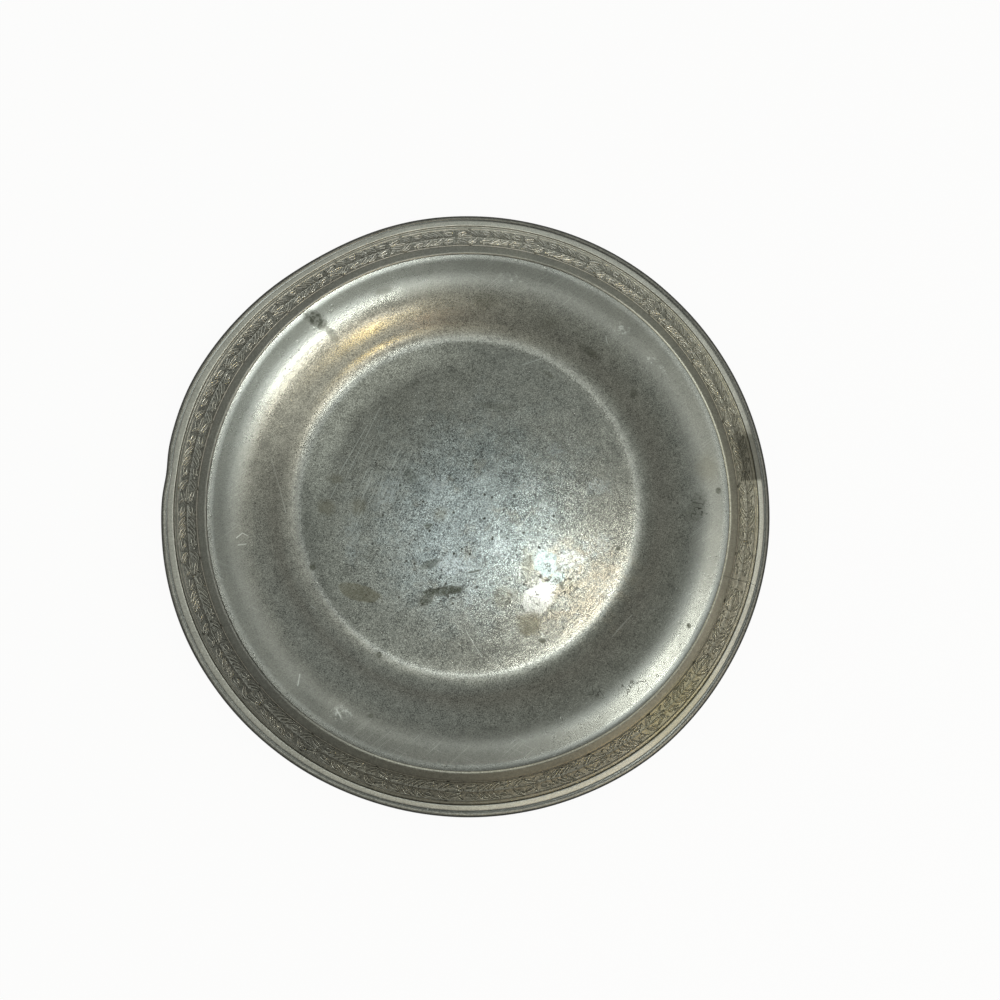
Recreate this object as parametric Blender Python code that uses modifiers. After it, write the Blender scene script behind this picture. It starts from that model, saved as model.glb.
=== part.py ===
"""Shallow pewter bowl: a spun body, a leaf border strip soldered on its rim, and a round edge wire.

Metres, +Z up. The origin is the middle of the flat underside, on the table.
"""
import math

import bmesh
import bpy
from mathutils import Matrix, Vector

# Driving dimensions of the whole bowl

RIM_RADIUS = 0.1270
BAND_HEIGHT = 0.0140
CLEARANCE = 0.0003
TURN_STEPS = 80

# Spun body: floor, wall and flange are one disc of sheet

SHEET = 0.0014
FLOOR_RADIUS = 0.0710
FILLET_RADIUS = 0.0200
FILLET_FACETS = 5
SHOULDER_FACETS = 6

# Edge wire, filed flat where it meets the flange

WIRE_RADIUS = 0.00135
WIRE_FLAT_DEPTH = 0.00018
WIRE_FACETS = 8

# Border strip, measured across the rim

STRIP_THICKNESS = 0.0009
STRIP_CORNER = 0.0004
SHOULDER_SETBACK = 0.0006
PLAIN_BAND_WIDTH = 0.00375
LINE_WIDTH = 0.0004
LINE_HEIGHT = 0.00018
LEAF_BAND_WIDTH = 0.0071
LINE_PITCH = 0.0010
OVOLO_WIDTH = 0.00265
OVOLO_HEIGHT = 0.0006
OVOLO_FACETS = 6

# Leaf relief, rolled into the strip before it was bent round the rim

REPEAT_ANGLE = math.radians(14.57)
JOINT_AZIMUTH = math.radians(-17.0)
FIRST_MARK_ANGLE = math.radians(5.3)
LEAF_RISE = 0.00038
LEAF_ROOT = 0.00025
LEAF_SIDES = 6
STEM_GAP = 0.00012
END_MARGIN = 0.0004

# One repeat of the sprig, leaf by leaf, each pair mirrored across the stem:
# name, foot along the stem, foot out from the stem, length, width, angle from the stem
LEAF_PAIRS = (
    ("spread", -0.0033, 0.00045, 0.0046, 0.0013, math.radians(33)),
    ("closing", 0.0014, 0.00215, 0.0045, 0.0010, math.radians(-17)),
    ("oval", 0.0076, 0.00120, 0.0030, 0.0015, math.radians(14)),
    ("short", 0.0098, 0.00040, 0.0024, 0.0008, math.radians(32)),
    ("front", 0.0122, 0.00040, 0.0050, 0.0014, math.radians(29)),
    ("back", 0.0163, 0.00040, 0.0050, 0.0014, math.radians(29)),
    ("bud", 0.0212, 0.00175, 0.0032, 0.0015, math.radians(6)),
)
SINGLE_LEAVES = (
    ("middle", -0.0008, 0.0, 0.0062, 0.0010, 0.0),
    ("tie", 0.0062, -0.0009, 0.0018, 0.0007, math.radians(90)),
    ("first berry", 0.0235, -0.0029, 0.0008, 0.0008, 0.0),
    ("second berry", 0.0246, -0.0017, 0.0008, 0.0008, 0.0),
)

# Places that follow from the sizes above

FLOOR_Z = SHEET
STRIP_TOP_Z = BAND_HEIGHT
STRIP_BASE_Z = STRIP_TOP_Z - STRIP_THICKNESS
FLANGE_Z = STRIP_BASE_Z - CLEARANCE
WIRE_CENTRE = RIM_RADIUS - WIRE_RADIUS
WIRE_FLAT = WIRE_CENTRE - (WIRE_RADIUS - WIRE_FLAT_DEPTH)
FLANGE_EDGE = WIRE_FLAT - CLEARANCE
OVOLO_START = FLANGE_EDGE - OVOLO_WIDTH
OUTER_LINE = OVOLO_START - LINE_WIDTH
LEAF_BAND_OUTER = OUTER_LINE - LINE_PITCH
LEAF_BAND_INNER = LEAF_BAND_OUTER - LEAF_BAND_WIDTH
INNER_LINE = LEAF_BAND_INNER - LINE_WIDTH
STRIP_INNER = INNER_LINE - PLAIN_BAND_WIDTH
SHOULDER_END = STRIP_INNER - SHOULDER_SETBACK
STEM_RADIUS = (LEAF_BAND_INNER + LEAF_BAND_OUTER) / 2

# The wall is two arcs, fillet and shoulder, that meet in one tangent with no straight between

WALL_RUN = SHOULDER_END - FLOOR_RADIUS
WALL_RISE = FLANGE_Z - FLOOR_Z
WALL_SLOPE = 2 * math.atan2(WALL_RISE, WALL_RUN)
SHOULDER_RADIUS = WALL_RUN / math.sin(WALL_SLOPE) - FILLET_RADIUS


def arc(centre, radii, start, end, facets):
    """Points along an elliptical arc in the XZ plane, both ends included."""
    points = []
    for step in range(facets + 1):
        angle = start + (end - start) * step / facets
        points.append((centre[0] + radii[0] * math.cos(angle), centre[1] + radii[1] * math.sin(angle)))
    return points


def body_surface(depth):
    """The bowl's line from floor to flange, at a depth under its upper surface."""
    fillet = arc((FLOOR_RADIUS, FLOOR_Z + FILLET_RADIUS), (FILLET_RADIUS + depth,) * 2,
                 -math.pi / 2, -math.pi / 2 + WALL_SLOPE, FILLET_FACETS)
    shoulder = arc((SHOULDER_END, FLANGE_Z - SHOULDER_RADIUS), (SHOULDER_RADIUS - depth,) * 2,
                   math.pi / 2 + WALL_SLOPE, math.pi / 2, SHOULDER_FACETS)
    return [(0.0, FLOOR_Z - depth)] + fillet + shoulder[1:] + [(FLANGE_EDGE, FLANGE_Z - depth)]


def raised_line(inner_radius):
    """A fine ridge on the strip: its inner foot and its crest."""
    return [(inner_radius, STRIP_TOP_Z), (inner_radius + LINE_WIDTH / 2, STRIP_TOP_Z + LINE_HEIGHT)]


def strip_profile():
    """Section of the border strip, from the inner corner over its top and back under it."""
    points = [(STRIP_INNER, STRIP_TOP_Z - STRIP_CORNER), (STRIP_INNER + STRIP_CORNER, STRIP_TOP_Z)]
    points += raised_line(INNER_LINE)
    points += [(LEAF_BAND_INNER, STRIP_TOP_Z)]
    points += raised_line(LEAF_BAND_OUTER)
    points += [(LEAF_BAND_OUTER + LINE_WIDTH, STRIP_TOP_Z)]
    points += raised_line(OUTER_LINE)
    points += arc((OVOLO_START + OVOLO_WIDTH / 2, STRIP_TOP_Z), (OVOLO_WIDTH / 2, OVOLO_HEIGHT),
                  math.pi, 0.0, OVOLO_FACETS)
    points += [(FLANGE_EDGE, STRIP_BASE_Z), (STRIP_INNER, STRIP_BASE_Z)]
    return points


def wire_profile():
    """Section of the edge wire: a round with a flat on its inner side."""
    half_turn = math.acos(-(WIRE_CENTRE - WIRE_FLAT) / WIRE_RADIUS)
    return arc((WIRE_CENTRE, FLANGE_Z), (WIRE_RADIUS,) * 2, half_turn, -half_turn, WIRE_FACETS)


def new_collection(name):
    """A collection linked to the scene."""
    collection = bpy.data.collections.new(name)
    bpy.context.scene.collection.children.link(collection)
    return collection


def pewter(name, colour, roughness):
    """A plain pewter for one piece."""
    material = bpy.data.materials.new(name)
    material.use_nodes = True
    shader = material.node_tree.nodes["Principled BSDF"]
    shader.inputs["Base Color"].default_value = (*colour, 1.0)
    shader.inputs["Metallic"].default_value = 1.0
    shader.inputs["Roughness"].default_value = roughness
    return material


def turned(name, profile, closed, collection, material):
    """A turned piece: the profile swept once round the Z axis by a Screw modifier."""
    mesh = bpy.data.meshes.new(name)
    edges = [(i, i + 1) for i in range(len(profile) - 1)]
    if closed:
        edges.append((len(profile) - 1, 0))
    mesh.from_pydata([(x, 0.0, z) for x, z in profile], edges, [])
    piece = bpy.data.objects.new(name, mesh)
    piece.data.materials.append(material)
    collection.objects.link(piece)
    screw = piece.modifiers.new("turn", "SCREW")
    screw.axis = "Z"
    screw.angle = 2 * math.pi
    screw.steps = TURN_STEPS
    screw.render_steps = TURN_STEPS
    screw.use_merge_vertices = True
    screw.merge_threshold = 0.00001
    screw.use_smooth_shade = True
    return piece


def as_tool(tool):
    """Marks a mesh that only shapes another piece."""
    tool.hide_render = True
    tool.display_type = "WIRE"
    return tool


def boolean(piece, tool, operation):
    """Cuts the tool from the piece, or joins it on."""
    modifier = piece.modifiers.new(tool.name, "BOOLEAN")
    modifier.operation = operation
    modifier.solver = "EXACT"
    modifier.object = tool


def on_rim(along, out):
    """The strip's own frame, bent round the rim: distance along the stem, and out from it."""
    azimuth = along / STEM_RADIUS
    radius = STEM_RADIUS + out
    return Vector((radius * math.cos(azimuth), radius * math.sin(azimuth), STRIP_TOP_Z))


def leaf_fits(tip_and_foot, start, end):
    """True where a leaf lies wholly on the strip, clear of its two cut ends."""
    return all(start + END_MARGIN < along < end - END_MARGIN for along in tip_and_foot)


def add_leaf(mesh, along, out, length, width, angle):
    """One raised leaf: a low six-sided pyramid drawn out to a point at each end."""
    middle = (along + math.cos(angle) * length / 2, out + math.sin(angle) * length / 2)
    place = on_rim(*middle)
    turn = middle[0] / STEM_RADIUS + math.pi / 2 - angle
    matrix = Matrix.Translation(place + Vector((0, 0, (LEAF_RISE - LEAF_ROOT) / 2)))
    matrix = matrix @ Matrix.Rotation(turn, 4, "Z") @ Matrix.Diagonal((length, width, 1.0, 1.0))
    bmesh.ops.create_cone(mesh, cap_ends=True, segments=LEAF_SIDES, radius1=0.5, radius2=0.0,
                          depth=LEAF_RISE + LEAF_ROOT, matrix=matrix)


def leaf_relief(collection):
    """All the leaves of the strip, repeat after repeat from one cut end to the other."""
    start = JOINT_AZIMUTH * STEM_RADIUS
    end = start + 2 * math.pi * STEM_RADIUS
    pitch = REPEAT_ANGLE * STEM_RADIUS
    first = start + FIRST_MARK_ANGLE * STEM_RADIUS
    mesh = bmesh.new()
    for repeat in range(-1, math.ceil((end - first) / pitch) + 1):
        mark = first + repeat * pitch
        leaves = [(single, 1, 0.0) for single in SINGLE_LEAVES]
        for pair in LEAF_PAIRS:
            leaves += [(pair, 1, STEM_GAP), (pair, -1, STEM_GAP)]
        for (_, foot, out, length, width, angle), side, gap in leaves:
            ends = (mark + foot, mark + foot + length * math.cos(angle))
            if leaf_fits(ends, start, end):
                add_leaf(mesh, mark + foot, side * (out + gap), length, width, side * angle)
    data = bpy.data.meshes.new("leaf_relief")
    mesh.to_mesh(data)
    mesh.free()
    relief = bpy.data.objects.new("leaf_relief", data)
    collection.objects.link(relief)
    return as_tool(relief)


def joint_cutter(collection):
    """A thin slab across the strip, where its two ends meet in a soldered butt joint."""
    length = FLANGE_EDGE - STRIP_INNER + 4 * LINE_PITCH
    height = STRIP_THICKNESS + 2 * OVOLO_HEIGHT + 4 * CLEARANCE
    bpy.ops.mesh.primitive_cube_add(size=1.0)
    cutter = bpy.context.object
    cutter.name = "joint_cutter"
    for old in list(cutter.users_collection):
        old.objects.unlink(cutter)
    collection.objects.link(cutter)
    middle = (STRIP_INNER + FLANGE_EDGE) / 2
    place = Matrix.Translation((middle * math.cos(JOINT_AZIMUTH), middle * math.sin(JOINT_AZIMUTH),
                                STRIP_BASE_Z + STRIP_THICKNESS / 2))
    shape = Matrix.Rotation(JOINT_AZIMUTH, 4, "Z") @ Matrix.Diagonal((length, CLEARANCE, height, 1.0))
    cutter.data.transform(place @ shape)
    return as_tool(cutter)


def main():
    for old in list(bpy.data.objects):
        bpy.data.objects.remove(old, do_unlink=True)
    bowl = new_collection("pewter_bowl")
    tools = new_collection("cutters")

    turned("bowl_body", body_surface(0.0) + body_surface(SHEET)[::-1], False, bowl,
           pewter("body_pewter", (0.20, 0.20, 0.185), 0.34))
    border = turned("leaf_border", strip_profile(), True, bowl,
                    pewter("border_pewter", (0.15, 0.14, 0.12), 0.42))
    turned("edge_wire", wire_profile(), True, bowl, pewter("wire_pewter", (0.19, 0.19, 0.18), 0.32))

    boolean(border, leaf_relief(tools), "UNION")
    boolean(border, joint_cutter(tools), "DIFFERENCE")
    print("wall slope in degrees", round(math.degrees(WALL_SLOPE), 1))
    print("shoulder radius in mm", round(SHOULDER_RADIUS * 1000, 1))


main()
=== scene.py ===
# %% [markdown]
# # A pewter bowl with a leaf border
#
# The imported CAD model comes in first, as the frame that every piece here is measured against.
# Each piece below stands for one of its three nodes: the spun body, the rolled border strip
# that is soldered on the rim, and the round wire that is soldered round the edge.

import math

import bmesh
import bpy
import numpy as np
from mathutils import Matrix, Vector


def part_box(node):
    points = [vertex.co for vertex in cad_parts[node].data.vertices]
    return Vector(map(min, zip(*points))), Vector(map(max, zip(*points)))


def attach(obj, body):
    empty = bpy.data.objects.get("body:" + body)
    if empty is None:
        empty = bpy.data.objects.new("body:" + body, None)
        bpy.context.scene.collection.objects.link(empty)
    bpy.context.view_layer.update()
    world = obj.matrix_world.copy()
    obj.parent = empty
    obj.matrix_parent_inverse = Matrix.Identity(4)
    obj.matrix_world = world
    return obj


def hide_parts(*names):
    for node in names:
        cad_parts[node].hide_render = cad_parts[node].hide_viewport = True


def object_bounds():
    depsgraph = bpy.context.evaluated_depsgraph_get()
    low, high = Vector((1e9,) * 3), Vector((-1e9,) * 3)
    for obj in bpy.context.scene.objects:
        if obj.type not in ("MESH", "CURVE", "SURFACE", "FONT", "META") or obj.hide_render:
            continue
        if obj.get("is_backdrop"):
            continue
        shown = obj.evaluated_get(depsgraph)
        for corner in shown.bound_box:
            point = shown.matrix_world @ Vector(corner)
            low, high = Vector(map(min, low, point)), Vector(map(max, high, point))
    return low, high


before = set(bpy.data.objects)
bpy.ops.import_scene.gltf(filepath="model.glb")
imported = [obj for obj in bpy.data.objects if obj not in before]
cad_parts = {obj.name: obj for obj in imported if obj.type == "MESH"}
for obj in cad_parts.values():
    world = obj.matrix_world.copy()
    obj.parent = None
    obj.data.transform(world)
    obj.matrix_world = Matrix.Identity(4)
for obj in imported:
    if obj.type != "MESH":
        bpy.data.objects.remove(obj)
cad_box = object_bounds()
print("nodes", sorted(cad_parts), "CAD box", [[round(v, 4) for v in corner] for corner in cad_box])

# %% [markdown]
# ## Sizes
#
# All sizes are in millimetres and repeat those of the CAD: the section of the body, the bands
# of the border strip, and the wire. Azimuths are in degrees, counter-clockwise from +X.

# %% Sizes
MM = 0.001
RIM = 127.0
SHEET = 1.4
FLOOR_RADIUS = 71.0
FILLET = 20.0
SHOULDER_END = 108.28
FLANGE_Z = 12.8
BAND_Z = 14.0
STRIP_INNER = 108.88
LEAF_BAND = (113.03, 120.13)
STEM = (LEAF_BAND[0] + LEAF_BAND[1]) / 2
OUTER_LINE = 121.13
OVOLO = (121.53, 124.18)
WIRE = 1.35
WIRE_CENTRE = RIM - WIRE
JOINT = -17.0
FIRST_MARK = 5.3
PITCH = 14.57
MARKS = 25

wall_run = SHOULDER_END - FLOOR_RADIUS
wall_rise = FLANGE_Z - SHEET
WALL_SLOPE = 2 * math.atan2(wall_rise, wall_run)
SHOULDER = wall_run / math.sin(WALL_SLOPE) - FILLET
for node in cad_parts:
    low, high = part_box(node)
    reach, bottom, top = (round(value / MM, 2) for value in (high[0], low[2], high[2]))
    print(node, "reaches", reach, "mm out, from", bottom, "to", top)
print("wall slope", round(math.degrees(WALL_SLOPE), 1), "degrees, shoulder radius", round(SHOULDER, 1), "mm")

# %% [markdown]
# ## Wear
#
# Handmade metal is never quite true, so every piece goes through the same warp: slow ripples
# over the whole bowl, a softened edge to its floor, a few knocks in the wall, a strip that sits
# a little off centre, and a rim that has been bent in on the upper left and nicked on the left.

# %% Wear
rng = np.random.default_rng(7)
RIPPLES = [(rng.uniform(20, 75), rng.uniform(0, math.tau), rng.uniform(0, math.tau)) for _ in range(16)]
RIPPLE_CREST = 7.0
RIPPLE_LIFT = 0.045
INSIDE_LIFT = 0.045
FLOOR_EDGE_LIFT = 0.04
FLOOR_EDGE_REACH = 4.5
STRIP_OFF_CENTRE = ((88, 108, 113, 124), (-0.47, 0.44, 0.44, 0.0))
KNOCKS = (
    # x, y, reach, height
    (-63.0, 76.0, 5.0, -0.10), (96.0, -4.0, 5.5, -0.13), (66.0, 75.0, 4.0, -0.10),
    (79.0, 61.0, 3.0, -0.07), (55.0, 66.0, 5.0, 0.08), (-94.0, -16.0, 3.5, -0.09),
    (-69.0, -73.0, 3.0, -0.07), (-30.0, 92.0, 5.0, -0.08), (14.0, 97.0, 4.0, -0.07),
    (51.0, -79.0, 3.5, -0.08), (-53.0, -86.0, 4.0, -0.08), (30.0, -38.0, 9.0, 0.05),
    (-62.0, -2.0, 6.0, 0.05), (90.0, 26.0, 4.0, -0.06), (-80.0, 40.0, 9.0, -0.07),
    (-30.0, 84.0, 7.0, 0.06),
)
# Bends of the rim and of its outermost edge: azimuth, reach in degrees, how far out
RIM_BENDS = ((122, 15, -1.3), (157, 11, 0.55))
EDGE_BENDS = (
    (160, 12, 0.45), (172, 8, 0.18), (175, 3.5, -0.85), (201, 16, 0.5), (252, 22, -0.6),
    (304, 12, 0.48), (333, 12, -0.22), (62, 18, 0.25),
)


def bends(azimuth, shapes):
    """The sum of soft bends round the rim, in millimetres."""
    total = np.zeros(len(azimuth))
    for at, reach, out in shapes:
        away = (azimuth - at + 180) % 360 - 180
        total += out * np.exp(-(away / reach) ** 2)
    return total


def warp(points):
    """Moves points, in millimetres, as making and years of use have moved the metal."""
    x, y, z = points.T
    radius = np.hypot(x, y)
    azimuth = np.degrees(np.arctan2(y, x))
    swell = np.zeros(len(points))
    for length, heading, phase in RIPPLES:
        swell += np.sin(math.tau * (x * math.cos(heading) + y * math.sin(heading)) / length + phase)
    swell = np.clip(swell / RIPPLE_CREST, -1, 1)
    inside = np.clip((100.0 - radius) / 25.0, 0, 1)
    lift = RIPPLE_LIFT * swell + INSIDE_LIFT * (2 * inside - 1)
    lift += FLOOR_EDGE_LIFT * np.exp(-((radius - FLOOR_RADIUS) / FLOOR_EDGE_REACH) ** 2)
    for at_x, at_y, reach, height in KNOCKS:
        lift += height * np.exp(-((x - at_x) ** 2 + (y - at_y) ** 2) / reach ** 2)
    off_centre = np.interp(radius, *STRIP_OFF_CENTRE)
    out = bends(azimuth, RIM_BENDS) * np.clip((radius - 110) / 14, 0, 1)
    out += bends(azimuth, EDGE_BENDS) * np.clip((radius - 121) / 4, 0, 1)
    scale = 1 + out / np.maximum(radius, 1.0)
    return np.stack([x * scale + off_centre, y * scale - 0.3 * off_centre, z + lift], axis=1)


# %% [markdown]
# ## Turning
#
# A section is a closed list of (radius, height) points, and turning it gives a grid of faces.
# Each finished mesh keeps its unworn place as the attribute "rest", in millimetres, so that the
# materials can still find the bands and the centre.


# %% Turning
WELD = 0.002
SHARP_ANGLE = math.radians(40)


def arc(centre, radii, start, end, facets):
    """Points along an elliptical arc, angles in degrees, both ends included."""
    angles = np.radians(np.linspace(start, end, facets + 1))
    return [(centre[0] + radii[0] * math.cos(a), centre[1] + radii[1] * math.sin(a)) for a in angles]


def turned(section, steps, start=0.0, sweep=360.0):
    """Points and faces of a closed section turned round Z, capped if it isn't a full turn."""
    whole = sweep == 360.0
    rings = steps if whole else steps + 1
    angles = np.radians(start + sweep * np.arange(rings) / steps)
    section = np.asarray(section, float)
    count = len(section)
    points = np.stack([
        np.outer(np.cos(angles), section[:, 0]), np.outer(np.sin(angles), section[:, 0]),
        np.tile(section[:, 1], (rings, 1)),
    ], axis=2).reshape(-1, 3)
    faces = []
    for ring in range(steps):
        here, there = ring * count, (ring + 1) % rings * count
        for k in range(count):
            faces.append((here + k, here + (k + 1) % count, there + (k + 1) % count, there + k))
    if not whole:
        faces.append(tuple(range(count - 1, -1, -1)))
        faces.append(tuple(steps * count + k for k in range(count)))
    return points, faces


def wear(mesh):
    """Keeps the mesh's unworn place, then warps it and turns its millimetres into metres."""
    rest = np.zeros(len(mesh.vertices) * 3)
    mesh.vertices.foreach_get("co", rest)
    mesh.attributes.new("rest", "FLOAT_VECTOR", "POINT").data.foreach_set("vector", rest)
    mesh.vertices.foreach_set("co", (warp(rest.reshape(-1, 3)) * MM).ravel())
    mesh.shade_smooth()
    mesh.update()


def dress(name, mesh, node):
    """An object with the mesh, riding on the frame and standing for its CAD node."""
    made = bpy.data.objects.new(name, mesh)
    bpy.context.scene.collection.objects.link(made)
    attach(made, "root")
    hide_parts(node)
    print(name, len(mesh.polygons), "faces")
    return made


def piece(name, points, faces, node):
    """A finished, worn mesh object from points in millimetres."""
    mesh = bpy.data.meshes.new(name)
    mesh.from_pydata([tuple(p) for p in points], [], faces)
    form = bmesh.new()
    form.from_mesh(mesh)
    bmesh.ops.remove_doubles(form, verts=form.verts, dist=WELD)
    bmesh.ops.recalc_face_normals(form, faces=form.faces)
    form.to_mesh(mesh)
    form.free()
    wear(mesh)
    mesh.set_sharp_from_angle(angle=SHARP_ANGLE)
    return dress(name, mesh, node)


# %% [markdown]
# ## The spun body
#
# One disc of sheet: a flat floor, two tangent arcs for the wall, and a flat flange under the
# strip. Solder fills its corner with the strip, which catches the light as a soft bright line,
# and the groove under the wire. The floor is divided finely, so the ripples bend reflections.


# %% The spun body
def wall_line(depth, last_slope):
    """Floor and wall, a depth under the top, out to where the shoulder has its last slope."""
    steepest = math.degrees(WALL_SLOPE)
    line = [(r, SHEET - depth) for r in np.linspace(0, FLOOR_RADIUS, 36)]
    line += arc((FLOOR_RADIUS, SHEET + FILLET), (FILLET + depth,) * 2, -90, -90 + steepest, 14)[1:]
    return line + arc((SHOULDER_END, FLANGE_Z - SHOULDER), (SHOULDER - depth,) * 2,
                      90 + steepest, 90 + last_slope, 18)[1:]


LIP_SLOPES = (6.5, 15.0)
LIP_START = 105.8
LIP_RADIUS = 21.0
FLANGE_EDGE = OVOLO[1] + 0.28
upper_line = wall_line(0.0, LIP_SLOPES[0])
slope = math.radians(LIP_SLOPES[0])
lip_z = upper_line[-1][1] + (LIP_START - upper_line[-1][0]) * math.tan(slope)
upper_line += arc((LIP_START - LIP_RADIUS * math.sin(slope), lip_z + LIP_RADIUS * math.cos(slope)),
                  (LIP_RADIUS,) * 2, -90 + LIP_SLOPES[0], -90 + LIP_SLOPES[1], 8)
GROOVE_SOLDER = ((0.02, 0.25), (0.3, 0.18), (0.6, 0.12))
solder = [(OVOLO[1] + out, BAND_Z - drop) for out, drop in GROOVE_SOLDER]
upper_line += [(STRIP_INNER - 0.02, upper_line[-1][1] + 0.05), (STRIP_INNER - 0.01, FLANGE_Z)]
upper_line += [(r, FLANGE_Z) for r in np.linspace(STRIP_INNER + 1, OVOLO[1], 6)]
upper_line += [*solder, (FLANGE_EDGE, FLANGE_Z)]
under_line = wall_line(SHEET, 0.0)
under_line += [(r, FLANGE_Z - SHEET) for r in np.linspace(SHOULDER_END, FLANGE_EDGE, 5)[1:]]
points, faces = turned(upper_line + under_line[::-1], 360)
body = piece("spun_body", points, faces, "bowl_body")
normals = np.zeros(len(body.data.vertices) * 3)
body.data.vertices.foreach_get("normal", normals)
upper = body.data.attributes.new("upper", "FLOAT", "POINT")
upper.data.foreach_set("value", (normals.reshape(-1, 3)[:, 2] > 0).astype(float))
print("the lip starts", round(lip_z, 2), "mm up")

# %% [markdown]
# ## The border strip
#
# The strip is one length of rolled metal, bent round the rim, so it starts and ends at a butt
# joint. From the inside out it has a rubbed, sloping corner, a plain band, a fine line, the
# sunk leaf band with its stem, two fine lines and a rounded moulding.


# %% The border strip
JOINT_GAP = 0.035
LEAF_GROUND = BAND_Z - 0.09
LINE_HEIGHT = 0.28
OVOLO_HEIGHT = 0.40
RUBBED_CORNER = ((0.0, 0.45), (0.03, 0.30), (0.12, 0.19), (0.66, 0.05), (0.85, 0.02))


def fine_line(at, width):
    """A small raised line of the section."""
    across = np.linspace(-1, 1, 7)
    foot = BAND_Z - 0.04
    return [(at + s * width / 2, foot + LINE_HEIGHT * math.cos(s * math.pi / 2) ** 2) for s in across]


def strip_section():
    """The strip's closed section."""
    line = [(STRIP_INNER + out, BAND_Z - drop) for out, drop in RUBBED_CORNER]
    line += [(r, BAND_Z - 0.02) for r in np.linspace(STRIP_INNER + 1.2, LEAF_BAND[0] - 0.5, 4)]
    line += fine_line(LEAF_BAND[0] - 0.2, 0.44)
    line += [(r, LEAF_GROUND) for r in np.linspace(LEAF_BAND[0] + 0.25, STEM - 0.25, 4)]
    line += [(STEM - 0.12, BAND_Z - 0.04), (STEM, BAND_Z), (STEM + 0.12, BAND_Z - 0.04)]
    line += [(r, LEAF_GROUND) for r in np.linspace(STEM + 0.25, LEAF_BAND[1] - 0.25, 4)]
    line += fine_line(LEAF_BAND[1] + 0.2, 0.44)
    line += [(LEAF_BAND[1] + 0.7, BAND_Z - 0.05)]
    line += fine_line(OUTER_LINE + 0.2, 0.40)
    middle, reach = sum(OVOLO) / 2, (OVOLO[1] - OVOLO[0]) / 2
    crown = np.linspace(-0.98, 1, 25)
    line += [(middle + s * reach, BAND_Z + OVOLO_HEIGHT * (1 - abs(s) ** 6) - 0.02) for s in crown]
    return line + [(OVOLO[1], FLANGE_Z + 0.02), (STRIP_INNER, FLANGE_Z + 0.02)]


points, faces = turned(strip_section(), 540, JOINT + JOINT_GAP, 360 - 2 * JOINT_GAP)
strip = piece("border_strip", points, faces, "leaf_border")

# %% [markdown]
# ## The edge wire
#
# A round wire with its inner side filed flat, and with the small unevenness of hand soldering.

# %% The edge wire
points, faces = turned(arc((WIRE_CENTRE, FLANGE_Z), (WIRE, WIRE), 150, -150, 24), 540)
azimuths = np.arctan2(points[:, 1], points[:, 0])
uneven = sum(math.sin(k) * np.sin(k * azimuths + 2.3 * k) for k in (5, 9, 14, 23, 31, 47)) / 6
points[:, :2] *= (1 + (0.05 * (uneven - 2.6) / RIM))[:, None]
points[:, 2] += 0.05 * (uneven - 1.0)
wire = piece("edge_bead", points, faces, "edge_wire")

# %% [markdown]
# ## Leaves
#
# Each leaf is a unit mesh: it runs from its foot at x = 0 to its tip at x = 1, half a unit to
# each side, and one unit high. The rolled leaves have a raised edge and a raised vein with a
# hollow on each side between them, which the attribute "crest" marks for the material. A bowed
# leaf has a left and a right form.


# %% Leaves
def unit_leaf(name, fullness, bow, vein, mirrored=False, along=14, across=20):
    """A leaf with a raised edge and vein; its sides go down into the strip."""
    points, crests = [], []
    for t in np.linspace(0.0, 1.0, along + 1):
        half = 0.5 * max(math.sin(math.pi * t ** 0.8), 0.0) ** fullness
        middle = -bow * 4 * t * (1 - t)
        for s in np.linspace(-1.0, 1.0, across + 1):
            ridge = math.exp(-((abs(s) - 0.74) / 0.15) ** 2)
            rib = math.exp(-(s / 0.12) ** 2)
            height = (0.22 + 0.78 * ridge + vein * rib) * min(1.0, 5 * t + 0.3) * min(1.0, 5 * (1 - t) + 0.3)
            if abs(s) > 0.86:
                height -= (abs(s) - 0.86) / 0.14 * 1.2
            points.append((t, (middle + half * s) * (-1 if mirrored else 1), height))
            crests.append(min(1.0, ridge + 1.4 * vein * rib))
    faces = []
    for i in range(along):
        for j in range(across):
            a = i * (across + 1) + j
            quad = (a, a + across + 1, a + across + 2, a + 1)
            faces.append(quad[::-1] if mirrored else quad)
    mesh = bpy.data.meshes.new(name)
    mesh.from_pydata(points, [], faces)
    mesh.attributes.new("crest", "FLOAT", "POINT").data.foreach_set("value", crests)
    return mesh


def unit_berry(name):
    """A round berry, a unit long and wide, half sunk."""
    form = bmesh.new()
    bmesh.ops.create_icosphere(form, subdivisions=2, radius=0.5)
    for vert in form.verts:
        vert.co.x += 0.5
        vert.co.z = vert.co.z * 2.0
    mesh = bpy.data.meshes.new(name)
    form.to_mesh(mesh)
    form.free()
    mesh.attributes.new("crest", "FLOAT", "POINT").data.foreach_set("value", [0.4] * len(mesh.vertices))
    return mesh


leaf_forms = {
    "left": unit_leaf("leaf_left", 0.8, 0.36, 0.45),
    "right": unit_leaf("leaf_right", 0.8, 0.36, 0.45, mirrored=True),
    "narrow": unit_leaf("leaf_narrow", 0.8, 0.0, 0.3),
    "round": unit_leaf("leaf_round", 0.55, 0.0, 0.3),
    "berry": unit_berry("berry"),
}
print("unit forms", {name: len(mesh.polygons) for name, mesh in leaf_forms.items()})

# %% [markdown]
# ## Fields
#
# A field wraps a socket of a node tree, so that arithmetic on fields adds Math nodes. The leaf
# tree and all the materials are written with it.


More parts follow.
